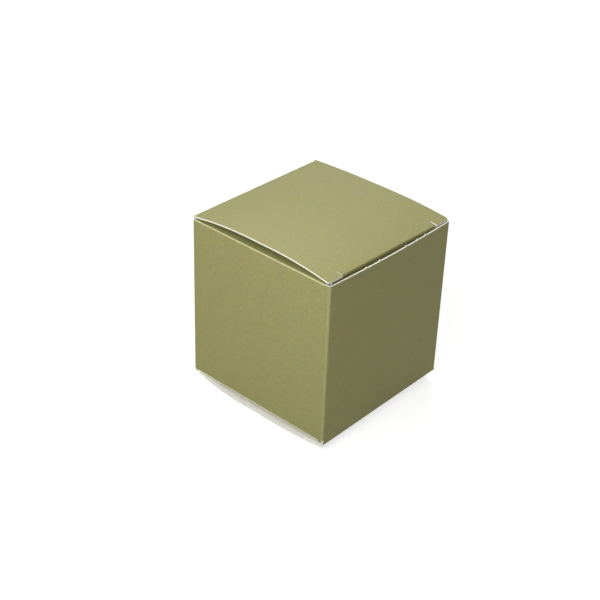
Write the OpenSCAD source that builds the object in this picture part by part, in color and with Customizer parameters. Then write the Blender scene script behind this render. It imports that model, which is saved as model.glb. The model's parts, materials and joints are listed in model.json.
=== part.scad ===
// Tuck-end carton, folded from one sheet of paperboard and glued along one upright seam.
// Each end closes with an arched lid, its tuck flap and two dust flaps. The top lid is creased to
// the rear wall and the bottom lid to the front wall, so the bottom end is drawn as the top end
// after half a turn about X. The bottom lid hangs lower than the top one rises.
// X runs along the lid creases, the front is at -Y, and Z = 0 is the surface the carton stands on.
// Sizes are in millimetres. Most shapes are drawn in a frame whose origin is the carton's middle.

/* [Box] */
// Width over the left and right walls
box_w = 50.8; // [36:0.2:90]
// Depth over the front and rear walls
box_d = 50.8; // [40:0.2:90]
// Height over the dust flaps at both ends
box_h = 49.8; // [40:0.2:110]
// Thickness of the paperboard
board_t = 0.45; // [0.35:0.05:0.6]
// Outer radius of the tube's upright folds
corner_r = 1; // [0.7:0.1:1.8]
// How far the free edge of the front or rear wall bows out at its middle
wall_bow = 0.6; // [0.4:0.1:2.4]

/* [Lids] */
// Rise of the top lid's flat crown above its crease
lid_rise = 2; // [1:0.1:3]
// Sag of the bottom lid's flat crown below its crease
lid_sag = 2.9; // [1:0.1:3]
// Length of the flat crown, from front to rear
lid_crown = 8; // [4:0.5:14]
// Gap under a lid at its crease, over the dust flaps
lid_lift = 0.5; // [0.4:0.05:0.9]
// How much lower a lid's tuck fold lies than its crease
lid_drop = 0.4; // [0.1:0.05:0.5]
// Step from a side wall's outer face in to the lid's side edge
lid_inset = 0.1; // [0.05:0.05:0.5]
// Radius on a lid's free corners
lid_corner_r = 0.4; // [0.3:0.1:2.5]
// Length of the slit at each end of a tuck fold
slit_l = 5.5; // [3:0.5:9]
// Length of the nick that turns from a slit into the lid
nick_l = 1.6; // [0.8:0.1:3]
// Width of the slit's and the nick's cut
slit_w = 0.2; // [0.1:0.05:0.3]

/* [Tuck flaps] */
// Length of a tuck flap below its fold
tuck_l = 13; // [9:0.5:16]
// Gap between a tuck fold and the wall it goes in behind
tuck_gap = 0.2; // [0.15:0.05:0.4]
// Gap between a tuck flap's side and what lies nearest, the glue flap
tuck_side_gap = 0.6; // [0.5:0.1:1.2]
// Lean of a tuck flap away from the wall, in degrees
tuck_tilt = 10; // [9:1:14]
// Radius on a tuck flap's lower corners
tuck_corner_r = 7; // [4:0.5:8]
// Taper of a tuck flap's sides, in degrees
tuck_taper = 4; // [2:1:8]

/* [Dust flaps] */
// Length of a dust flap from its crease
flap_l = 21; // [15:0.5:24]
// Room between a dust flap's shoulder and the tuck flap
flap_tuck_gap = 0.9; // [0.8:0.1:1.5]
// Room between a dust flap and the upright fold on the lid's crease side
flap_rear_gap = 0.5; // [0.3:0.1:1]
// Length of the square shoulder beside the tuck flap
shoulder_l = 5; // [3:0.5:7]
// Depth of the slope that follows the shoulder
shoulder_step = 3.5; // [2:0.5:5]
// Slant of a dust flap's side next to the lid's crease, in degrees
flap_slant = 30; // [29:1:35]
// Radius on a dust flap's free corners
flap_corner_r = 2.5; // [1:0.5:3.5]

/* [Glue seam] */
// Width of the glue flap inside the right wall
seam_w = 11; // [7:0.5:14]
// Slant of the glue flap's two ends, in degrees
seam_slant = 15; // [8:1:30]
// Step from the box's end down to the glue flap
seam_step = 1.5; // [1:0.25:4]
// Thickness of the dried glue
glue_t = 0.08; // [0.05:0.01:0.12]
// Width of the glue strip
glue_w = 6; // [3:0.5:8]
// Distance from the glue flap's ends to the glue strip's
glue_end = 4; // [3:0.5:8]
// Distance the right wall's raw edge stops short of the rear face
seam_reveal = 0.15; // [0.05:0.05:0.3]

/* [Hidden] */
// Running clearance between a crease's round edge and the panel that carries it
crease_gap = 0.02;
// Share of the board's thickness that is left where a lid is pressed along its crease
crease_share = 0.9;
// Clearance at each end of a dust flap's crease, in the notch of its wall
notch_gap = 0.1;
// Overrun of a cut past the face it opens
overrun = 0.5;
// Steps along each curved shoulder of a lid, along an outline's corner, and over a bowed wall
shoulder_steps = 12;
corner_steps = 8;
bow_steps_x = 16;
bow_steps_z = 10;
// How quickly a wall's bow dies away from its free edge to its crease
bow_power = 2;
$fn = 48;

board_half = board_t / 2;
half_w = box_w / 2;
half_d = box_d / 2;
half_h = box_h / 2;
// Flat part of a wall, up to the start of its upright folds
flat_w = half_w - corner_r;
flat_d = half_d - corner_r;

// Axis of a lid's crease, of its tuck fold and of a dust flap's crease
hinge_y = half_d - board_half;
hinge_z = half_h + lid_lift + board_half;
tuck_y = board_t + tuck_gap + board_half - half_d;
tuck_z = hinge_z - lid_drop;
flap_x = half_w - board_half;
flap_z = half_h - board_half;

// Upper end of a wall that carries a lid, and of one that carries a dust flap
hinge_wall_z = hinge_z - board_half - crease_gap;
flap_wall_z = flap_z - board_half - crease_gap;
// Height of the carton's middle over Z = 0, on which the bottom lid's crown stands
mid_z = hinge_z + lid_sag + board_half;

// Front and rear ends of a top dust flap's crease
flap_front = 2 * board_t + tuck_gap + flap_tuck_gap - half_d;
flap_rear = flat_d - flap_rear_gap;

// Outer face of the glue flap, and the flat end of the rear wall beside it
seam_x = half_w - board_t - glue_t;
seam_fold_x = seam_x - corner_r;

GOLD = [0.66, 0.64, 0.46];
GLUE = [0.88, 0.86, 0.76];

// Points of a circular arc about [x, y]
function arc(x, y, r, from, to) = [
    for (i = [0 : corner_steps])
        let (a = from + (to - from) * i / corner_steps) [x + r * cos(a), y + r * sin(a)]
];

// Height and slope at depth y of the middle surface of a lid whose crown rises by this much: the
// crown is flat and lies between two curved shoulders
function rear_share(y) = max(0, (y - lid_crown / 2) / (hinge_y - lid_crown / 2));
function front_share(y) = max(0, (lid_crown / 2 + y) / (lid_crown / 2 + tuck_y));
function lid_z(y, rise) =
    hinge_z + rise
    - rise * pow(y > 0 ? rear_share(y) : 0, 2)
    - (rise + lid_drop) * pow(y < 0 ? front_share(y) : 0, 2);
function lid_angle(y, rise) = y > 0
    ? atan(-2 * rise * rear_share(y) / (hinge_y - lid_crown / 2))
    : atan(-2 * (rise + lid_drop) * front_share(y) / (lid_crown / 2 + tuck_y));
// A point half a board above (side 1) or below (side -1) that surface
function lid_face(y, side, rise) =
    let (half = y < hinge_y ? board_half : board_half * crease_share)
    [
        y - side * half * sin(lid_angle(y, rise)),
        lid_z(y, rise) + side * half * cos(lid_angle(y, rise))
    ];

// How far the front wall bows out at [x, z]
function bow(x, z) =
    wall_bow * (1 - pow(x / flat_w, 2)) * pow((z + hinge_wall_z) / (half_h + hinge_wall_z), bow_power);

// Puts a shape drawn for the top end at the top or, after half a turn about X, at the bottom
module at_top() {
    translate([0, 0, mid_z]) children();
}

module at_bottom() {
    translate([0, 0, mid_z]) rotate([180, 0, 0]) children();
}

// A sheet of board drawn in X and Z, centred on Y = 0
module upright_board() {
    rotate([90, 0, 0]) linear_extrude(board_t, center = true) children();
}

// The round edge of a creased panel, along X
module round_edge_x(length) {
    rotate([0, 90, 0]) cylinder(d = board_t, h = length, center = true);
}

// Front wall, from its crease at the bottom to its bowed free edge at the top, between two
// upright folds: x_from and x_to are the flat ends
module bowed_wall(x_from, x_to) {
    xs = [for (i = [0 : bow_steps_x]) x_from + (x_to - x_from) * i / bow_steps_x];
    zs = [for (j = [0 : bow_steps_z]) -hinge_wall_z + (half_h + hinge_wall_z) * j / bow_steps_z];
    // The share of the width puts the bow's ends at this wall's own folds
    outer = [for (z = zs, i = [0 : bow_steps_x])
        [xs[i], -half_d - bow(flat_w * (2 * i / bow_steps_x - 1), z), z]];
    inner = [for (p = outer) [p.x, p.y + board_t, p.z]];
    row = bow_steps_x + 1;
    count = len(outer);
    cells = [for (j = [0 : bow_steps_z - 1], i = [0 : bow_steps_x - 1]) j * row + i];
    ends = [for (j = [0 : bow_steps_z - 1]) j * row];
    last = bow_steps_z * row;
    faces = concat(
        [for (k = cells) [k, k + row, k + 1]],
        [for (k = cells) [k + 1, k + row, k + row + 1]],
        [for (k = cells) [count + k, count + k + 1, count + k + row]],
        [for (k = cells) [count + k + 1, count + k + row + 1, count + k + row]],
        [for (k = ends) [k, count + k, count + k + row, k + row]],
        [for (k = ends)
            let (e = k + bow_steps_x) [e, e + row, count + e + row, count + e]],
        [for (i = [0 : bow_steps_x - 1]) [i, i + 1, count + i + 1, count + i]],
        [for (i = [0 : bow_steps_x - 1])
            let (e = last + i) [e, count + e, count + e + 1, e + 1]]
    );
    polyhedron(concat(outer, inner), faces);
}

// Left wall: flat, with a notch along each end for a dust flap's round edge
module side_wall(rear_end) {
    translate([board_half - half_w, 0, 0])
        rotate([90, 0, 90])
            linear_extrude(board_t, center = true)
                difference() {
                    translate([-flat_d, -half_h]) square([flat_d + rear_end, box_h]);
                    for (turn = [0, 180])
                        rotate(turn) dust_flap_notch();
                }
}

// Notch in a side wall's upper edge, drawn in Y and Z
module dust_flap_notch() {
    front = flap_front - notch_gap;
    rear = flap_rear + notch_gap;
    translate([front, flap_wall_z])
        square([rear - front, half_h - flap_wall_z + overrun]);
}

// Quarter tube that turns one wall into the next, with its middle at the origin
module upright_fold() {
    translate([0, 0, -half_h - hinge_wall_z])
        intersection() {
            linear_extrude(half_h + hinge_wall_z)
                difference() {
                    circle(corner_r);
                    circle(corner_r - board_t);
                }
            translate([-corner_r, -corner_r, 0])
                cube([corner_r, corner_r, half_h + hinge_wall_z]);
        }
}

// Fold between the front and left walls
module front_fold() {
    translate([-flat_w, -flat_d, half_h]) upright_fold();
}

// Outline of the glue flap in Y and Z, tapering away from the seam fold
module seam_outline(inset_y, inset_z) {
    slope = tan(seam_slant);
    near = flat_d - inset_y;
    far = flat_d - seam_w + inset_y;
    top = half_h - seam_step - inset_z;
    polygon([
        [near, -top],
        [near, top],
        [far, top - (near - far) * slope],
        [far, (near - far) * slope - top]
    ]);
}

// Lid's profile in Y and Z, from its round edge at the crease to the ends of its ears
module lid_profile(rise) {
    rear_ys = [for (i = [0 : shoulder_steps])
        hinge_y + (lid_crown / 2 - hinge_y) * i / shoulder_steps];
    ear_y = tuck_y - board_half;
    front_ys = [for (i = [0 : shoulder_steps])
        -lid_crown / 2 + (ear_y + lid_crown / 2) * i / shoulder_steps];
    ys = concat(rear_ys, front_ys);
    last = len(ys) - 1;
    polygon(concat(
        [for (y = ys) lid_face(y, 1, rise)],
        [for (i = [0 : last]) lid_face(ys[last - i], -1, rise)]
    ));
    translate([hinge_y, hinge_z]) circle(d = board_t);
}

// Lid's outline from above, with round free corners
module lid_outline() {
    side = half_w - lid_inset;
    front = tuck_y - board_half;
    polygon(concat(
        [[-side, half_d + overrun]],
        arc(lid_corner_r - side, front + lid_corner_r, lid_corner_r, 180, 270),
        arc(side - lid_corner_r, front + lid_corner_r, lid_corner_r, 270, 360),
        [[side, half_d + overrun]]
    ));
}

// What is cut from the lid's outline: the strip the tuck fold takes between the slits, and the
// two nicks that turn from the slits into the lid
module tuck_fold_cut() {
    fold_end = half_w - slit_l;
    // The leaning tuck flap passes under the lid's cut end
    lid_end = tuck_y + board_half / cos(tuck_tilt) + board_half * tan(tuck_tilt) + crease_gap;
    translate([-fold_end, -half_d])
        square([2 * fold_end, half_d + lid_end]);
    for (side = [-1, 1])
        translate([side * (fold_end - slit_w / 2) - slit_w / 2, -half_d])
            square([slit_w, half_d + lid_end + nick_l]);
}

module lid(rise) {
    intersection() {
        rotate([90, 0, 90]) linear_extrude(box_w, center = true) lid_profile(rise);
        linear_extrude(hinge_z + rise + board_t)
            difference() {
                lid_outline();
                tuck_fold_cut();
            }
    }
}

// Tuck flap's outline in X and Z, hanging from the fold at Z = 0
module tuck_outline() {
    fold_end = half_w - slit_l - slit_w;
    side = seam_x - board_t - tuck_side_gap;
    shoulder_z = -board_half - slit_w;
    lean = tuck_taper;
    // Middle of the corner's arc, so that it touches the tapered side
    corner_x = side - (tuck_l + shoulder_z - tuck_corner_r) * tan(lean) - tuck_corner_r / cos(lean);
    corner_z = tuck_corner_r - tuck_l;
    polygon(concat(
        [[-fold_end, 0], [-fold_end, shoulder_z], [-side, shoulder_z]],
        arc(-corner_x, corner_z, tuck_corner_r, 180 + lean, 270),
        arc(corner_x, corner_z, tuck_corner_r, 270, 360 - lean),
        [[side, shoulder_z], [fold_end, shoulder_z], [fold_end, 0]]
    ));
}

module tuck_flap() {
    translate([0, tuck_y, tuck_z])
        rotate([tuck_tilt, 0, 0]) {
            upright_board() tuck_outline();
            round_edge_x(2 * (half_w - slit_l - slit_w));
        }
}

// Dust flap's outline from above: X from its crease inwards, Y as in the carton
module dust_flap_outline() {
    chamfer_y = flap_front + shoulder_step;
    tip_rear = flap_rear - flap_l * tan(flap_slant);
    r = flap_corner_r;
    // Middle of the rear corner's arc, which touches both the tip and the slanted side
    rear_y = flap_rear - (flap_l - r) * tan(flap_slant) - r / cos(flap_slant);
    polygon(concat(
        [[0, flap_rear], [0, flap_front], [shoulder_l, flap_front],
            [shoulder_l + shoulder_step, chamfer_y]],
        arc(flap_l - r, chamfer_y + r, r, 270, 360),
        arc(flap_l - r, rear_y, r, 0, 90 - flap_slant)
    ));
}

// Left dust flap
module dust_flap() {
    translate([-flap_x, 0, flap_z]) {
        linear_extrude(board_t, center = true) dust_flap_outline();
        translate([0, flap_rear, 0])
            rotate([90, 0, 0]) cylinder(d = board_t, h = flap_rear - flap_front);
    }
}

module front_wall() {
    color(GOLD) at_top() bowed_wall(-flat_w, flat_w);
}

module rear_wall() {
    color(GOLD) at_bottom() bowed_wall(-flat_w, seam_fold_x);
}

module left_wall() {
    color(GOLD) at_top() side_wall(flat_d);
}

module right_wall() {
    color(GOLD) at_top() mirror([1, 0, 0]) side_wall(half_d - seam_reveal);
}

module front_left_fold() {
    color(GOLD) at_top() front_fold();
}

module front_right_fold() {
    color(GOLD) at_top() mirror([1, 0, 0]) front_fold();
}

module rear_left_fold() {
    color(GOLD) at_bottom() front_fold();
}

module seam_fold() {
    color(GOLD) at_bottom()
        translate([seam_fold_x, -flat_d, half_h]) mirror([1, 0, 0]) upright_fold();
}

module glue_flap() {
    color(GOLD) at_top()
        translate([seam_x - board_t, 0, 0])
            rotate([90, 0, 90]) linear_extrude(board_t) seam_outline(0, 0);
}

module glue_strip() {
    color(GLUE) at_top()
        translate([seam_x, 0, 0])
            rotate([90, 0, 90])
                linear_extrude(glue_t) seam_outline((seam_w - glue_w) / 2, glue_end);
}

module top_lid() {
    color(GOLD) at_top() lid(lid_rise);
}

module top_tuck_flap() {
    color(GOLD) at_top() tuck_flap();
}

module top_left_dust_flap() {
    color(GOLD) at_top() dust_flap();
}

module top_right_dust_flap() {
    color(GOLD) at_top() mirror([1, 0, 0]) dust_flap();
}

module bottom_lid() {
    color(GOLD) at_bottom() lid(lid_sag);
}

module bottom_tuck_flap() {
    color(GOLD) at_bottom() tuck_flap();
}

module bottom_left_dust_flap() {
    color(GOLD) at_bottom() dust_flap();
}

module bottom_right_dust_flap() {
    color(GOLD) at_bottom() mirror([1, 0, 0]) dust_flap();
}

front_wall();
rear_wall();
left_wall();
right_wall();
front_left_fold();
front_right_fold();
rear_left_fold();
seam_fold();
glue_flap();
glue_strip();
top_lid();
top_tuck_flap();
top_left_dust_flap();
top_right_dust_flap();
bottom_lid();
bottom_tuck_flap();
bottom_left_dust_flap();
bottom_right_dust_flap();
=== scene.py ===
import json
import math

import bmesh
import bpy
from mathutils import Matrix, Vector


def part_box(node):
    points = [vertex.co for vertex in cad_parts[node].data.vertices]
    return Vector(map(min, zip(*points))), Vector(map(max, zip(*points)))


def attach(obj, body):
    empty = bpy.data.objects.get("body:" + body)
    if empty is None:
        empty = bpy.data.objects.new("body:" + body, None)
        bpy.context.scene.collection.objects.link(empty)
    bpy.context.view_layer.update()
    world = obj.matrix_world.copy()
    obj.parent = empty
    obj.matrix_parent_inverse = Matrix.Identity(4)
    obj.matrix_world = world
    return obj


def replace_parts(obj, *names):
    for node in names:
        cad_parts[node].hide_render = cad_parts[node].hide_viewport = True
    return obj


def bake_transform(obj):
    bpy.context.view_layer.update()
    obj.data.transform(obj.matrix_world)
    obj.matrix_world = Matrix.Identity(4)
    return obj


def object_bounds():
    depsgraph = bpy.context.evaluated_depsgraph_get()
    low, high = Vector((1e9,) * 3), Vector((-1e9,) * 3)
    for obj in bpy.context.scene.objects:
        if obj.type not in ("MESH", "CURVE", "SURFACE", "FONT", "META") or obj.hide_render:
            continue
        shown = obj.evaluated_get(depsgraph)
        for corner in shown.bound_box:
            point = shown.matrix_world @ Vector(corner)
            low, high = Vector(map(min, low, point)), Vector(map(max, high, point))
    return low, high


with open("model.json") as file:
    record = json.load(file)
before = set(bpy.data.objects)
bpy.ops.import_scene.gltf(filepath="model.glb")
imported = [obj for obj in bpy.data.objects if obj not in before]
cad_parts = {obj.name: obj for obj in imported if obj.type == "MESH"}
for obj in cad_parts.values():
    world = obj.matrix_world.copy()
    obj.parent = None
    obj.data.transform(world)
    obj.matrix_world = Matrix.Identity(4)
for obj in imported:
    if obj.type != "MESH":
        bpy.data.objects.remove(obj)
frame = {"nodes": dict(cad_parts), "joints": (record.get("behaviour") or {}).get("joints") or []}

mm = 0.001
cadLow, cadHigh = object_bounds()
print("Loaded the frame of the carton:", len(frame["nodes"]), "nodes")

# The carton's own measures, read from its frame. Panels are drawn about the carton's middle.
sideLow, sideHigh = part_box("left_wall")
frontLow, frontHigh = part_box("front_wall")
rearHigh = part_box("rear_wall")[1]
lidLow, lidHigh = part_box("top_lid")
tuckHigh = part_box("top_tuck_flap")[1]
flapLow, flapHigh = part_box("top_left_dust_flap")
glueFlapLow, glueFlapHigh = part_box("glue_flap")
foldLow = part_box("front_left_fold")[0]

middle = Vector((0, 0, (sideLow.z + sideHigh.z) / 2))
creases = {joint["name"]: Vector(joint["pos_m"]) - middle for joint in frame["joints"]}
lidCrease = creases["top_lid_crease"]
tuckCrease = creases["top_tuck_crease"]
flapCrease = creases["top_left_dust_flap_crease"]

board = sideHigh.x - sideLow.x
halfBoard = board / 2
wallX = -sideLow.x - halfBoard
wallY = -foldLow.y - halfBoard
flatX = frontHigh.x
flatY = sideHigh.y
halfHeight = sideHigh.z - middle.z
wallBow = foldLow.y - frontLow.y
lidRise = cadHigh.z - halfBoard - middle.z - lidCrease.z
lidSag = middle.z - lidCrease.z - halfBoard - cadLow.z
seamX = rearHigh.x

# The bottom closure is drawn as the top one and then given half a turn about X
topTurn = Matrix.Translation(middle)
bottomTurn = Matrix.Translation(middle) @ Matrix.Rotation(math.pi, 4, "X")


# A leg is how far a bend reaches from its crease into each of the two panels
crease = {
    "steps": 10,
    "lidLeg": 0.48 * mm,
    "flapLeg": 0.26 * mm,
    "tuckLeg": 0.2 * mm,
    "endGap": 0.1 * mm,
}

# Sizes of a paper's clouds, grain and slow waves, and how high the grain and the waves stand
goldPaper = {
    "colour": (0.328, 0.326, 0.133),
    "tint": (0.352, 0.322, 0.114),
    "metal": 0.1,
    "specular": 0.2,
    "roughness": 0.55,
    "roughnessSpread": 0.05,
    "mottle": 2.2 * mm,
    "grain": 0.4 * mm,
    "grainShade": 0.11,
    "grainHeight": 0.006 * mm,
    "wave": 16 * mm,
    "waveHeight": 0.03 * mm,
    "glow": 0,
}
# Gold that is stretched over a fold is painted paler along the middle of the fold, as a painted
# highlight, and plain beside it
stretchedAndHighlitFoldPaper = dict(goldPaper, colour=(0.45, 0.437, 0.18), tint=goldPaper["colour"])
# On the top creases the paler line is partly worn gold and partly a painted highlight
wornAndHighlitPaper = dict(goldPaper, colour=(0.70, 0.66, 0.37), tint=goldPaper["colour"], mottle=0.8 * mm)
# On the bottom creases, which get little light, the line is a painted highlight with a painted glow
creaseHighlightGlowPaper = dict(wornAndHighlitPaper, colour=(0.86, 0.84, 0.62), glow=0.2)
whitePaper = {
    "colour": (0.93, 0.92, 0.88),
    "tint": (0.89, 0.88, 0.83),
    "metal": 0,
    "specular": 0.3,
    "roughness": 0.72,
    "roughnessSpread": 0.06,
    "mottle": 2.5 * mm,
    "grain": 0.2 * mm,
    "grainShade": 0.1,
    "grainHeight": 0.012 * mm,
    "wave": 16 * mm,
    "waveHeight": 0.03 * mm,
    "glow": 0,
}
# Cut edges have a painted glow, which makes them brighter than the lamps light them
cutPaper = dict(whitePaper, colour=(0.92, 0.92, 0.815), tint=(0.88, 0.87, 0.75),
                mottle=0.6 * mm, grain=0.08 * mm, glow=0.1)
# A painted glow on the bottom lid's white inside stands in for light from the pale floor coming through
# the lid that lies on it
glowingInsidePaper = dict(whitePaper, glow=0.15)
driedGlue = dict(whitePaper, colour=(0.74, 0.70, 0.55), tint=(0.62, 0.57, 0.40),
                 roughness=0.35, grain=0.5 * mm)
# The board's plies show on a cut edge as thin lines along it
plies = {
    "count": 5,
    "length": 2 * mm,
    "shade": 0.9,
}
noiseRange = (0.3, 0.7)  # where most values of a noise lie
foldClouds = 0.7  # how much of a fold's painted highlight is left in its dullest clouds
highlightLineAt = 0.28  # the bottom creases' painted highlight lies nearer to the wall than to the flap


def addNode(tree, kind, **values):
    node = tree.nodes.new(kind)
    for name, value in values.items():
        node.inputs[name].default_value = value
    return node


def addMath(tree, operation, *values):
    node = tree.nodes.new("ShaderNodeMath")
    node.operation = operation
    for place, value in enumerate(values):
        if isinstance(value, bpy.types.NodeSocket):
            tree.links.new(value, node.inputs[place])
        else:
            node.inputs[place].default_value = value
    return node.outputs["Value"]


def noiseOf(tree, place, size, detail):
    noise = addNode(tree, "ShaderNodeTexNoise", Scale=1 / size, Detail=detail)
    tree.links.new(place, noise.inputs["Vector"])
    return noise.outputs["Fac"]


def spreadOf(tree, value, lowest, highest):
    spread = tree.nodes.new("ShaderNodeMapRange")
    for slot, number in zip(range(1, 5), (*noiseRange, lowest, highest)):
        spread.inputs[slot].default_value = number
    tree.links.new(value, spread.inputs["Value"])
    return spread.outputs["Result"]


def paperMaterial(name, look, showsPlies=False, foldWay="Y", foldWidth=0, lineAt=0.5):
    material = bpy.data.materials.new(name)
    material.use_nodes = True
    tree = material.node_tree
    shader = tree.nodes["Principled BSDF"]
    shader.inputs["Metallic"].default_value = look["metal"]
    shader.inputs["Specular IOR Level"].default_value = look["specular"]
    # A look's glow is painted light: the paper shines in its own colour
    shader.inputs["Emission Color"].default_value = (*look["colour"], 1)
    shader.inputs["Emission Strength"].default_value = look["glow"]
    place = tree.nodes.new("ShaderNodeTexCoord").outputs["Object"]
    mottle = noiseOf(tree, place, look["mottle"], 3)
    grain = noiseOf(tree, place, look["grain"], 2)
    wave = noiseOf(tree, place, look["wave"], 1)
    mix = tree.nodes.new("ShaderNodeMix")
    mix.data_type = "RGBA"
    mixSockets = {socket.identifier: socket for socket in mix.inputs}
    mixSockets["A_Color"].default_value = (*look["tint"], 1)
    mixSockets["B_Color"].default_value = (*look["colour"], 1)
    share = spreadOf(tree, mottle, 0, 1)
    if foldWidth:
        line = foldHighlightLine(tree, foldWay, foldWidth, lineAt)
        share = addMath(tree, "MULTIPLY", spreadOf(tree, mottle, foldClouds, 1), line)
    tree.links.new(share, mixSockets["Factor_Float"])
    shade = spreadOf(tree, grain, 1 - look["grainShade"], 1 + look["grainShade"])
    if showsPlies:
        shade = addMath(tree, "MULTIPLY", shade, plyLines(tree))
    shaded = tree.nodes.new("ShaderNodeVectorMath")
    shaded.operation = "SCALE"
    colours = {socket.identifier: socket for socket in mix.outputs}
    tree.links.new(colours["Result_Color"], shaded.inputs["Vector"])
    tree.links.new(shade, shaded.inputs["Scale"])
    tree.links.new(shaded.outputs["Vector"], shader.inputs["Base Color"])
    rough, spread = look["roughness"], look["roughnessSpread"]
    tree.links.new(spreadOf(tree, grain, rough - spread, rough + spread), shader.inputs["Roughness"])
    waveBump = addNode(tree, "ShaderNodeBump", Distance=look["waveHeight"])
    grainBump = addNode(tree, "ShaderNodeBump", Distance=look["grainHeight"])
    tree.links.new(wave, waveBump.inputs["Height"])
    tree.links.new(grain, grainBump.inputs["Height"])
    tree.links.new(waveBump.outputs["Normal"], grainBump.inputs["Normal"])
    tree.links.new(grainBump.outputs["Normal"], shader.inputs["Normal"])
    return material


# A line along a fold, at a share of its width, that carries the fold's painted highlight
def foldHighlightLine(tree, foldWay, foldWidth, lineAt):
    sheet = tree.nodes.new("ShaderNodeAttribute")
    sheet.attribute_name = "sheet"
    parts = tree.nodes.new("ShaderNodeSeparateXYZ")
    tree.links.new(sheet.outputs["Vector"], parts.inputs["Vector"])
    across = addMath(tree, "MULTIPLY", parts.outputs[foldWay], 2 / foldWidth)
    distance = addMath(tree, "ABSOLUTE", addMath(tree, "SUBTRACT", across, 2 * lineAt))
    return spreadOf(tree, addMath(tree, "SUBTRACT", 1, distance), 0, 1)


def plyLines(tree):
    sheet = tree.nodes.new("ShaderNodeAttribute")
    sheet.attribute_name = "sheet"
    along = 1 / plies["length"]
    stretch = addNode(tree, "ShaderNodeMapping", Scale=(along, along, plies["count"]))
    tree.links.new(sheet.outputs["Vector"], stretch.inputs["Vector"])
    return spreadOf(tree, noiseOf(tree, stretch.outputs["Vector"], 1, 1), plies["shade"], 1)


foldLength = (wallY - flatY) * math.pi / 2
flapFold = crease["flapLeg"] * math.pi / 2
gold = paperMaterial("gold paper", goldPaper)
# Folds and creases carry a painted highlight along their middle
highlitFoldGold = paperMaterial("gold paper, stretched over a corner", stretchedAndHighlitFoldPaper, foldWay="X",
                       foldWidth=foldLength)
creaseHighlights = {
    "top": paperMaterial("gold paper, stretched over a crease", wornAndHighlitPaper, foldWidth=flapFold),
    "bottom": paperMaterial("gold paper with a painted highlight and glow at a crease", creaseHighlightGlowPaper, foldWidth=flapFold,
                            lineAt=highlightLineAt),
}
white = paperMaterial("white inside of the board", whitePaper)
glowingInsideWhite = paperMaterial("white inside of the board, with a painted glow", glowingInsidePaper)
cut = paperMaterial("cut edge of the board", cutPaper, showsPlies=True)
glue = paperMaterial("dried glue", driedGlue)
print("Mixed the papers")


edgeBevel = 0.025 * mm
sharpAngle = math.radians(20)
snap = 0.001 * mm  # two points nearer than this are one
cornerSteps = 8
quarterHandle = 0.39  # handles this long, as a share of a curve's chord, make a quarter circle


def arcPoints(middleU, middleV, radius, start, end, steps=cornerSteps):
    angles = [math.radians(start + (end - start) * step / steps) for step in range(steps + 1)]
    return [(middleU + radius * math.cos(a), middleV + radius * math.sin(a)) for a in angles]


def evenCuts(start, end, spacing):
    count = max(1, round((end - start) / spacing))
    return [start + (end - start) * step / count for step in range(1, count)]


# Closer together at both ends, where a fold runs on into a flat panel
def foldCuts(length, count):
    return [length * (1 - math.cos(math.pi * step / count)) / 2 for step in range(1, count)]


def cutSheet(outline, cutsU, cutsV):
    flat = bmesh.new()
    flat.faces.new([flat.verts.new((u, v, 0)) for u, v in outline])
    for way, places in ((Vector((1, 0, 0)), cutsU), (Vector((0, 1, 0)), cutsV)):
        for place in places:
            everything = flat.verts[:] + flat.edges[:] + flat.faces[:]
            bmesh.ops.bisect_plane(flat, geom=everything, dist=snap, plane_co=way * place, plane_no=way)
    return flat


def isJoined(edge, joins):
    return any(all(abs(vertex.co[axis] - place) < snap for vertex in edge.verts) for axis, place in joins)


# How each point of a free rim steps inwards, so that every cut edge gets its fine bevel
def rimSteps(flat, joins):
    ways = {}
    for edge in flat.edges:
        if edge.is_boundary and not isJoined(edge, joins):
            loop = edge.link_loops[0]
            along = (loop.link_loop_next.vert.co - loop.vert.co).normalized()
            for vertex in edge.verts:
                ways.setdefault(vertex, []).append(Vector((-along.y, along.x, 0)))
    return {v: (found[0] + found[-1]) / (1 + found[0].dot(found[-1])) for v, found in ways.items()}


# A point of the bent sheet, at a share of the board's depth under its gold face
def boardPoint(shape, u, v, depthShare):
    nudge = 0.05 * mm
    along = shape(u + nudge, v) - shape(u - nudge, v)
    across = shape(u, v + nudge) - shape(u, v - nudge)
    return shape(u, v) + along.cross(across).normalized() * (0.5 - depthShare) * board


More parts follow.
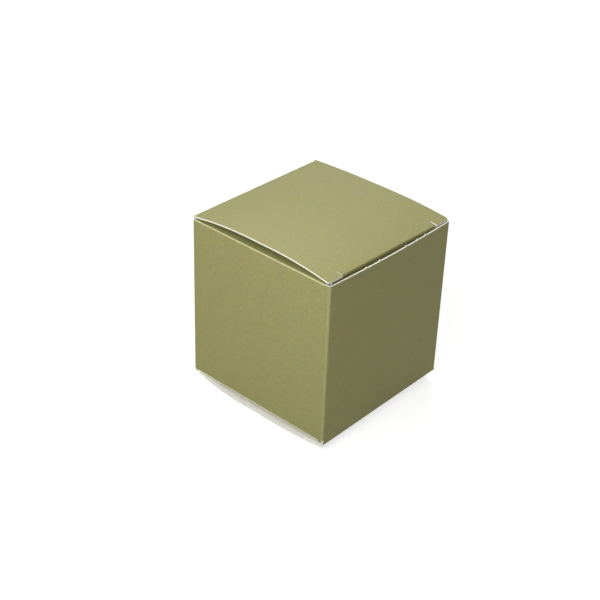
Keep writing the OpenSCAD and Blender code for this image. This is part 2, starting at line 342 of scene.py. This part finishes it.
# Outlines are drawn as seen from the gold side: u to the right, v upwards
def makeBoard(name, outline, cutsU, cutsV, shape, turn, joins=(), mirrored=False, skin=gold,
              inside=white):
    flat = cutSheet(outline, cutsU, cutsV)
    steps = rimSteps(flat, joins)
    solid = bmesh.new()
    # Where each point lies on the flat sheet, for the fold lines and the plies
    sheet = solid.verts.layers.float_vector.new("sheet")
    rows = {}
    for vertex in flat.verts:
        inwards = steps.get(vertex)
        layers = [(0, 0), (0, 1)]
        if inwards is not None:
            share = edgeBevel / board
            layers = [(edgeBevel, 0), (0, share), (0, 1 - share), (edgeBevel, 1)]
        rows[vertex] = []
        for inset, depthShare in layers:
            place = vertex.co + inwards * inset if inset else vertex.co
            point = solid.verts.new(boardPoint(shape, place.x, place.y, depthShare))
            point[sheet] = (place.x, place.y, depthShare)
            rows[vertex].append(point)

    def addFace(points, paper):
        face = solid.faces.new(points)
        face.material_index = paper
        face.smooth = True

    for face in flat.faces:
        addFace([rows[vertex][0] for vertex in face.verts], 0)
        addFace([rows[vertex][-1] for vertex in reversed(face.verts)], 1)
    for edge in flat.edges:
        if edge.is_boundary:
            loop = edge.link_loops[0]
            here, there = rows[loop.vert], rows[loop.link_loop_next.vert]
            if isJoined(edge, joins):
                addFace(here + there[::-1], 0)
            else:
                for k in range(3):
                    addFace([here[k], here[k + 1], there[k + 1], there[k]], 2)
    solid.normal_update()
    bmesh.ops.triangulate(solid, faces=[face for face in solid.faces if len(face.verts) > 4])
    for edge in solid.edges:
        edge.smooth = edge.calc_face_angle(math.pi) < sharpAngle
    if mirrored:
        bmesh.ops.scale(solid, vec=(-1, 1, 1), verts=solid.verts)
        bmesh.ops.reverse_faces(solid, faces=solid.faces)
    solid.transform(turn)
    mesh = bpy.data.meshes.new(name)
    solid.to_mesh(mesh)
    flat.free()
    solid.free()
    for paper in (skin, inside, cut):
        mesh.materials.append(paper)
    piece = bpy.data.objects.new(name, mesh)
    bpy.context.scene.collection.objects.link(piece)
    return piece


# A rounded bend as one Bezier curve
def bendPoint(start, startWay, end, endWay, share):
    reach = (end - start).length * quarterHandle
    rest = 1 - share
    handles = (start + startWay * reach, end - endWay * reach)
    return (start * rest**3 + handles[0] * 3 * share * rest**2
            + handles[1] * 3 * share**2 * rest + end * share**3)


# Nicks are the torn bridges left where the sheet was cut out; the two upper corners of each are given
# as shares of half its width and of its height. The notch is the step at the foot of an upright fold.
tube = {
    "foldSteps": 16,
    "wallGrid": 2.2 * mm,
    "flatGrid": 6 * mm,
    "seatPower": 8,
    "notch": 0.8 * mm,
    "notchFrom": 0.35,
    "notchTo": 0.75,
    "nickHeight": 0.32 * mm,
    "nickWidth": 0.6 * mm,
    "nickCorners": [(1 / 3, 1), (-1 / 2, 0.7)],
    "frontNicks": [-11.4 * mm, -6.0 * mm, 5.2 * mm, 10.1 * mm, 13.8 * mm],
    "rearNicks": [-13.1 * mm, -2.4 * mm, 9.6 * mm],
}
endZ = lidCrease.z - halfBoard

# Neither lid is arched evenly, and no box is folded quite square. Each pair is for the left and the
# right side: "rise" is the arch's height, "hinge" how much higher than drawn the lid's crease lies, and
# "fall" how much lower than drawn its tuck fold does. The bottom lid is measured upside down.
arches = {
    "top": {
        "crown": 8 * mm,
        "rise": (lidRise, 0.35 * lidRise),
        "hinge": (-0.02 * mm, 0.03 * mm),
        "fall": (-0.1 * mm, 0.48 * mm),
    },
    "bottom": {
        "crown": 14 * mm,
        "rise": (0.78 * lidSag, lidSag),
        "hinge": (0.8 * mm, -0.15 * mm),
        "fall": (0.3 * mm, 0.45 * mm),
    },
}


def atSides(pair, x):
    share = (x + lidHigh.x) / (2 * lidHigh.x)
    return pair[0] + (pair[1] - pair[0]) * share


# A dust flap's crease is pressed a little higher than cut, and past it the flap springs up in a bend
springs = {
    "reach": 6 * mm,
    "top": {
        "left": {"frontSeat": 0, "rearSeat": 0.17 * mm, "lift": -0.3 * mm},
        "right": {"frontSeat": 0, "rearSeat": 0, "lift": 0.35 * mm},
    },
    "bottom": {
        "left": {"frontSeat": 0.4 * mm, "rearSeat": 0.4 * mm, "lift": 0},
        "right": {"frontSeat": 0, "rearSeat": 0, "lift": 0.7 * mm},
    },
}


def flapZ(end, side, y):
    spring = springs[end][side]
    share = (y - flapLow.y) / (flapHigh.y - flapLow.y)
    return flapCrease.z + spring["frontSeat"] + (spring["rearSeat"] - spring["frontSeat"]) * share


# How far a wall bows out at x and z; its crease is at the lower end
def bowOf(x, z, start, end):
    across = (2 * x - start - end) / (end - start)
    return wallBow * (1 - across**2) * ((z + endZ) / (halfHeight + endZ)) ** 2


# How far a wall is drawn down at z, by a crease that lies lower than drawn
def dropOf(hinge, z):
    return hinge * (halfHeight - z) / (halfHeight + endZ)


def bowedWall(name, node, turn, start, end, nicks, arch):
    top = [(end, halfHeight)]
    for nick in sorted(nicks, reverse=True):
        side, height = tube["nickWidth"] / 2, tube["nickHeight"]
        corners = [(1, 0), *tube["nickCorners"], (-1, 0)]
        top += [(nick + side * across, halfHeight + height * up) for across, up in corners]
    low = crease["lidLeg"] - lidCrease.z
    outline = [(start, low), (end, low), *top, (start, halfHeight)]

    def shape(x, z):
        return Vector((x, -wallY - bowOf(x, z, start, end), z - dropOf(atSides(arch["hinge"], x), z)))

    cutsU, cutsV = evenCuts(start, end, tube["wallGrid"]), evenCuts(low, halfHeight, tube["wallGrid"])
    joins = ((0, start), (0, end), (1, low))
    piece = makeBoard(name, outline, cutsU, cutsV, shape, turn, joins)
    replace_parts(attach(piece, "tube"), node)


def sideWall(name, node, rearEnd, side, mirrored):
    gap = crease["endGap"]
    near, far = -flapHigh.y - gap, -flapLow.y + gap
    high = flapCrease.z - crease["flapLeg"]
    topNotch = [(far, halfHeight), (far, high), (near, high), (near, halfHeight)]
    bottomNotch = [(-u, -v) for u, v in topNotch]
    outline = [(-rearEnd, -halfHeight), *bottomNotch, (flatY, -halfHeight)]
    outline += [(flatY, halfHeight), *topNotch, (-rearEnd, halfHeight)]

    def shape(u, z):
        end, way = ("top", 1) if z > 0 else ("bottom", -1)
        seat = flapZ(end, side, -u * way) - flapCrease.z
        lift = seat * way * min(1, abs(z / high)) ** tube["seatPower"]
        return Vector((-wallX, -u, z + lift))

    cutsU, cutsV = evenCuts(-flatY, flatY, tube["flatGrid"]), evenCuts(-high, high, tube["flatGrid"])
    joins = [(0, flatY), (1, high), (1, -high)]
    if rearEnd == flatY:
        joins.append((0, -flatY))
    piece = makeBoard(name, outline, cutsU, cutsV, shape, topTurn, joins, mirrored)
    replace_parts(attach(piece, "tube"), node)


# An upright fold between a side wall and the bowed wall that starts at the fold. Its lower end is
# stepped, where the cut beside the side wall's flap meets the crease of the lid.
def uprightFold(name, node, turn, side, start, wallSpan, arch, mirrored=False):
    length = foldLength
    hinge = arch["hinge"][mirrored]
    near, far, high = tube["notchFrom"] * length, tube["notchTo"] * length, tube["notch"] - halfHeight
    outline = [(0, -halfHeight), (near, -halfHeight), (near, high), (far, high), (far, -endZ),
               (length, -endZ), (length, halfHeight), (0, halfHeight)]

    def shape(u, z):
        slope = 4 * wallBow / wallSpan * ((z + endZ) / (halfHeight + endZ)) ** 2  # of the wall's bow
        wallWay = Vector((1, -slope, 0)).normalized()
        wallZ = z - dropOf(hinge, z)
        return bendPoint(Vector((-side, -flatY, z)), Vector((0, -1, 0)),
                         Vector((-start, -wallY, wallZ)), wallWay, u / length)

    cutsU, cutsV = foldCuts(length, tube["foldSteps"]), evenCuts(-endZ, halfHeight, tube["wallGrid"])
    piece = makeBoard(name, outline, cutsU, cutsV, shape, turn, ((0, 0), (0, length)), mirrored, highlitFoldGold)
    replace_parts(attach(piece, "tube"), node)


glueFlap = {
    "slant": math.radians(15),
}


def makeGlueFlap():
    slant = (glueFlapHigh.y - glueFlapLow.y) * math.tan(glueFlap["slant"])
    high = glueFlapHigh.z - middle.z
    near, far = glueFlapHigh.y, glueFlapLow.y
    outline = [(near, -high), (near, high), (far, high - slant), (far, slant - high)]

    def shape(y, z):
        return Vector((glueFlapHigh.x - halfBoard, y, z))

    cutsV = evenCuts(-high, high, tube["flatGrid"])
    piece = makeBoard("glueFlap", outline, [], cutsV, shape, topTurn, ((0, near),))
    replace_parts(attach(piece, "tube"), "glue_flap")


frontArch, rearArch = arches["bottom"], arches["top"]
bowedWall("frontWall", "front_wall", topTurn, -flatX, flatX, tube["frontNicks"], frontArch)
bowedWall("rearWall", "rear_wall", bottomTurn, -flatX, seamX, tube["rearNicks"], rearArch)
sideWall("leftWall", "left_wall", flatY, "left", False)
sideWall("rightWall", "right_wall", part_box("right_wall")[1].y, "right", True)
uprightFold("frontLeftFold", "front_left_fold", topTurn, wallX, flatX, 2 * flatX, frontArch)
uprightFold("frontRightFold", "front_right_fold", topTurn, wallX, flatX, 2 * flatX, frontArch, True)
uprightFold("rearLeftFold", "rear_left_fold", bottomTurn, wallX, flatX, flatX + seamX, rearArch)
uprightFold("seamFold", "seam_fold", bottomTurn, glueFlapHigh.x - halfBoard, seamX, flatX + seamX,
            rearArch, True)
makeGlueFlap()
glueStrip = frame["nodes"]["glue_strip"]
glueStrip.data.materials.clear()
glueStrip.data.materials.append(glue)
print("Folded the tube")


# The rear corners leave room for the upright folds, which they pass when the lid opens
lid = {
    "inset": 0.1 * mm,
    "slit": 5.5 * mm,
    "slitWidth": 0.2 * mm,
    "nick": 1.6 * mm,
    "nickWidths": (0.06 * mm, 0.7 * mm),
    "earReach": 0.12 * mm,
    "rearGap": 0.42 * mm,
    "corners": (0.4 * mm, 1.2 * mm),
    "gridAlong": 4 * mm,
    "gridAcross": 1.3 * mm,
}
tuck = {
    "length": 13 * mm,
    "tilt": math.radians(10),
    "taper": 4,
    "corner": 7 * mm,
    "cornerSteps": 12,
    "grid": 4 * mm,
}
dust = {
    "shoulder": 5 * mm,
    "shoulderStep": 3.5 * mm,
    "slant": 30,
    "corner": 2.5 * mm,
    "grid": 3 * mm,
    "bendGrid": 1 * mm,
}
slitEnd = lidHigh.x + lid["inset"] - lid["slit"]
foldLeft, foldRight = lid["nickWidths"][0] - slitEnd, slitEnd - lid["nickWidths"][1]


# Height of an arched lid's middle at x and y
def lidHeight(arch, x, y):
    reach = arch["crown"] / 2
    rearShare = max(0, y - reach) / (lidCrease.y - reach)
    frontShare = min(0, y + reach) / (tuckCrease.y + reach)
    rise, fall = atSides(arch["rise"], x), atSides(arch["fall"], x)
    rearFall = rise - atSides(arch["hinge"], x)
    return lidCrease.z + rise - rearFall * rearShare**2 - (rise + fall) * frontShare**2


def lidPoint(arch, x, y):
    return Vector((x, y, lidHeight(arch, x, y)))


def lidWay(arch, x, y):
    nudge = 0.1 * mm
    return (lidPoint(arch, x, y - nudge) - lidPoint(arch, x, y + nudge)).normalized()


def tuckPoint(arch, x, z):
    foldZ = lidCrease.z - atSides(arch["fall"], x)
    return Vector((x, tuckCrease.y - z * math.sin(tuck["tilt"]), foldZ + z * math.cos(tuck["tilt"])))


def dustPoint(end, side, x, y):
    rest = max(0, 1 - x / springs["reach"])
    bend = (1 - rest**2) * (1 - (y / flapHigh.y) ** 2)
    return Vector((flapCrease.x + x, y, flapZ(end, side, y) + springs[end][side]["lift"] * bend))


def makeLid(end, turn, start, finish):
    arch = arches[end]
    side, front = lidHigh.x, lidLow.y - lid["earReach"]
    rearJoin, frontJoin = lidCrease.y - crease["lidLeg"], tuckCrease.y + crease["tuckLeg"]
    gap, (left, right) = lid["rearGap"], lid["corners"]
    nickTop = tuckCrease.y + lid["nick"] + halfBoard
    outline = [(-side, lidCrease.y)]
    outline += arcPoints(left - side, front + left, left, 180, 270)
    outline += [(-slitEnd, front), (-slitEnd, nickTop), (foldLeft, nickTop), (foldLeft, frontJoin)]
    outline += [(foldRight, frontJoin), (foldRight, nickTop), (slitEnd, nickTop), (slitEnd, front)]
    outline += arcPoints(side - right, front + right, right, 270, 360)
    outline += [(side, lidCrease.y), (finish + gap, lidCrease.y), (finish + gap, rearJoin)]
    outline += [(start - gap, rearJoin), (start - gap, lidCrease.y)]
    cutsU = evenCuts(foldLeft, foldRight, lid["gridAlong"])
    cutsV = evenCuts(frontJoin, rearJoin, lid["gridAcross"])
    joins = ((1, rearJoin), (1, frontJoin))

    def shape(x, y):
        return lidPoint(arch, x, y)

    # The bottom lid's inside has a painted glow
    inside = glowingInsideWhite if end == "bottom" else white
    piece = makeBoard(end + "Lid", outline, cutsU, cutsV, shape, turn, joins, inside=inside)
    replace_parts(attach(piece, end + "_lid"), end + "_lid")


def makeTuckFlap(end, turn):
    side, r, lean = tuckHigh.x, tuck["corner"], math.radians(tuck["taper"])
    join, shoulder = -crease["tuckLeg"], -halfBoard - lid["slitWidth"]
    cornerX = side - (tuck["length"] + shoulder - r) * math.tan(lean) - r / math.cos(lean)
    cornerZ = r - tuck["length"]
    outline = [(foldLeft, join), (foldLeft, shoulder), (-side, shoulder)]
    outline += arcPoints(-cornerX, cornerZ, r, 180 + tuck["taper"], 270, tuck["cornerSteps"])
    outline += arcPoints(cornerX, cornerZ, r, 270, 360 - tuck["taper"], tuck["cornerSteps"])
    outline += [(side, shoulder), (foldRight, shoulder), (foldRight, join)]
    cutsU = evenCuts(foldLeft, foldRight, tuck["grid"])
    cutsV = evenCuts(-tuck["length"], join, tuck["grid"])

    def shape(x, z):
        return tuckPoint(arches[end], x, z)

    piece = makeBoard(end + "TuckFlap", outline, cutsU, cutsV, shape, turn, ((1, join),))
    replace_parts(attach(piece, end + "_tuck_flap"), end + "_tuck_flap")


def makeDustFlap(end, turn, side, mirrored):
    length, front, rear = flapHigh.x - flapCrease.x, flapLow.y, flapHigh.y
    slant, r, join = math.radians(dust["slant"]), dust["corner"], crease["flapLeg"]
    chamferY = front + dust["shoulderStep"]
    cornerY = rear - (length - r) * math.tan(slant) - r / math.cos(slant)
    outline = [(join, rear), (join, front), (dust["shoulder"], front)]
    outline += [(dust["shoulder"] + dust["shoulderStep"], chamferY)]
    outline += arcPoints(length - r, chamferY + r, r, 270, 360)
    outline += arcPoints(length - r, cornerY, r, 0, 90 - dust["slant"])
    bendCuts = evenCuts(join, springs["reach"], dust["bendGrid"]) + [springs["reach"]]
    cutsU = bendCuts + evenCuts(springs["reach"], length, dust["grid"])
    cutsV = evenCuts(front, rear, dust["grid"])
    body = f"{end}_{side}_dust_flap"

    def shape(x, y):
        return dustPoint(end, side, x, y)

    name = f"{end}{side.title()}DustFlap"
    piece = makeBoard(name, outline, cutsU, cutsV, shape, turn, ((0, join),), mirrored)
    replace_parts(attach(piece, body), body)


# A crease between two panels, bent where they meet.
# It runs from start to finish along u, and from the first panel over to the second along v.
def makeCrease(name, start, finish, leg, bend, turn, skin=gold, mirrored=False):
    length = leg * math.pi / 2
    outline = [(start, 0), (finish, 0), (finish, length), (start, length)]

    def shape(u, v):
        return bend(u, v / length)

    cutsU, cutsV = evenCuts(start, finish, tube["flatGrid"]), foldCuts(length, crease["steps"])
    piece = makeBoard(name, outline, cutsU, cutsV, shape, turn, ((1, 0), (1, length)), mirrored, skin)
    # The bend's two ends across the crease, set square to its run; nothing uses them
    ends = [boardPoint(shape, start, v, 1) for v in (0, length)]
    along = (shape(finish, 0) - shape(start, 0)).normalized()
    ends[1] -= along * along.dot(ends[1] - ends[0])
    if mirrored:
        ends = [Vector((-point.x, point.y, point.z)) for point in ends]
    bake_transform(piece)


def makeClosure(end, turn, start, finish):
    makeLid(end, turn, start, finish)
    makeTuckFlap(end, turn)
    arch = arches[end]
    lidLeg, tuckLeg, flapLeg = crease["lidLeg"], crease["tuckLeg"], crease["flapLeg"]

    def lidBend(u, share):
        wall = Vector((-u, lidCrease.y, lidCrease.z + atSides(arch["hinge"], -u) - lidLeg))
        y = lidCrease.y - lidLeg
        return bendPoint(wall, Vector((0, 0, 1)), lidPoint(arch, -u, y), lidWay(arch, -u, y), share)

    def tuckBend(u, share):
        y = tuckCrease.y + tuckLeg
        flap = tuckPoint(arch, -u, -tuckLeg)
        flapWay = (flap - tuckPoint(arch, -u, 0)).normalized()
        return bendPoint(lidPoint(arch, -u, y), lidWay(arch, -u, y), flap, flapWay, share)

    makeCrease(end + "LidCrease", -finish, -start, lidLeg, lidBend, turn)
    makeCrease(end + "TuckCrease", -foldRight, -foldLeft, tuckLeg, tuckBend, turn)
    for side, mirrored in (("left", False), ("right", True)):
        def dustBend(u, share):
            wall = Vector((flapCrease.x, -u, flapZ(end, side, -u) - flapLeg))
            flap = dustPoint(end, side, flapLeg, -u)
            flapWay = (flap - dustPoint(end, side, 0, -u)).normalized()
            return bendPoint(wall, Vector((0, 0, 1)), flap, flapWay, share)

        makeDustFlap(end, turn, side, mirrored)
        name, bodies = f"{end}{side.title()}DustCrease", ("tube", f"{end}_{side}_dust_flap")
        # The dust creases carry a painted highlight line
        makeCrease(name, -flapHigh.y, -flapLow.y, flapLeg, dustBend, turn, creaseHighlights[end], mirrored)
    print("Folded the", end, "closure")


makeClosure("top", topTurn, -flatX, seamX)
makeClosure("bottom", bottomTurn, -flatX, flatX)


studio = {
    "floorSize": 4,
    "floorGrid": 8,
    "floorColour": (0.6, 0.6, 0.6),
    "floorRoughness": 0.9,
    "floorSpecular": 0.1,
    "floorGlow": 0.72,
    "ambient": 0.1,
}
lamps = {
    "key": {"azimuth": -80, "elevation": 40, "distance": 0.2, "size": 0.19, "power": 0.3},
    "front": {"azimuth": 10, "elevation": 30, "distance": 0.3, "size": 0.23, "power": 0.052},
    "back": {"azimuth": 131, "elevation": 45, "distance": 0.9, "size": 0.5, "power": 3.4},
}
view = {
    "azimuth": -48.59,
    "elevation": 32.01,
    "roll": 2.16,
    "distance": 374.5 * mm,
    "aimRight": 5.29 * mm,
    "aimUp": 1.14 * mm,
    "focal": 1304.2 / 600,
    "nearest": 10 * mm,
}


def wayTo(azimuth, elevation):
    a, e = math.radians(azimuth), math.radians(elevation)
    return Vector((math.sin(a) * math.cos(e), -math.cos(a) * math.cos(e), math.sin(e)))


# 1 for a ray from the camera, from a reflection or through a clear thing, and 0 for all others
def seenRay(tree):
    path = tree.nodes.new("ShaderNodeLightPath").outputs
    seen = addMath(tree, "MAXIMUM", path["Is Camera Ray"], path["Is Glossy Ray"])
    return addMath(tree, "MAXIMUM", seen, path["Is Transmission Ray"])


# White where it is seen, while it lights the carton only faintly
def makeWorld():
    world = bpy.data.worlds.new("studio")
    bpy.context.scene.world = world
    world.use_nodes = True
    tree = world.node_tree
    background = tree.nodes["Background"]
    background.inputs["Color"].default_value = (1, 1, 1, 1)
    strength = addMath(tree, "MAXIMUM", seenRay(tree), studio["ambient"])
    tree.links.new(strength, background.inputs["Strength"])


# The floor looks brighter than it is where it is seen, so that it runs into the white behind it
def makeFloor():
    plane = bmesh.new()
    grid = studio["floorGrid"]
    bmesh.ops.create_grid(plane, x_segments=grid, y_segments=grid, size=studio["floorSize"] / 2)
    mesh = bpy.data.meshes.new("floor")
    plane.to_mesh(mesh)
    plane.free()
    floor = bpy.data.objects.new("floor", mesh)
    floor.location.z = cadLow.z
    bpy.context.scene.collection.objects.link(floor)
    material = bpy.data.materials.new("pale floor")
    material.use_nodes = True
    tree = material.node_tree
    shader = tree.nodes["Principled BSDF"]
    shader.inputs["Base Color"].default_value = (*studio["floorColour"], 1)
    shader.inputs["Roughness"].default_value = studio["floorRoughness"]
    shader.inputs["Specular IOR Level"].default_value = studio["floorSpecular"]
    shader.inputs["Emission Color"].default_value = (1, 1, 1, 1)
    glow = addMath(tree, "MULTIPLY", seenRay(tree), studio["floorGlow"])
    tree.links.new(glow, shader.inputs["Emission Strength"])
    mesh.materials.append(material)


def makeLamp(name, lamp):
    light = bpy.data.lights.new(name, "AREA")
    light.energy = lamp["power"]
    light.size = lamp["size"]
    light.shape = "DISK"
    way = wayTo(lamp["azimuth"], lamp["elevation"])
    holder = bpy.data.objects.new(name, light)
    holder.visible_camera = False
    holder.location = middle + way * lamp["distance"]
    holder.rotation_euler = way.to_track_quat("Z", "Y").to_euler()
    bpy.context.scene.collection.objects.link(holder)


def makeCamera():
    back = wayTo(view["azimuth"], view["elevation"])
    right = (-back).cross(Vector((0, 0, 1))).normalized()
    up = right.cross(-back)
    roll = math.radians(view["roll"])
    rolledRight = right * math.cos(roll) + up * math.sin(roll)
    rolledUp = up * math.cos(roll) - right * math.sin(roll)
    place = (middle + back * view["distance"]
             - rolledRight * view["aimRight"] - rolledUp * view["aimUp"])
    camera = bpy.data.cameras.new("camera")
    camera.lens = view["focal"] * camera.sensor_width
    camera.clip_start = view["nearest"]
    holder = bpy.data.objects.new("camera", camera)
    columns = Matrix((rolledRight, rolledUp, back)).transposed()
    holder.matrix_world = Matrix.Translation(place) @ columns.to_4x4()
    bpy.context.scene.collection.objects.link(holder)
    bpy.context.scene.camera = holder


makeWorld()
makeFloor()
for name, lamp in lamps.items():
    makeLamp(name, lamp)
makeCamera()
bpy.context.scene.view_settings.view_transform = "Standard"
print("Set up the studio")
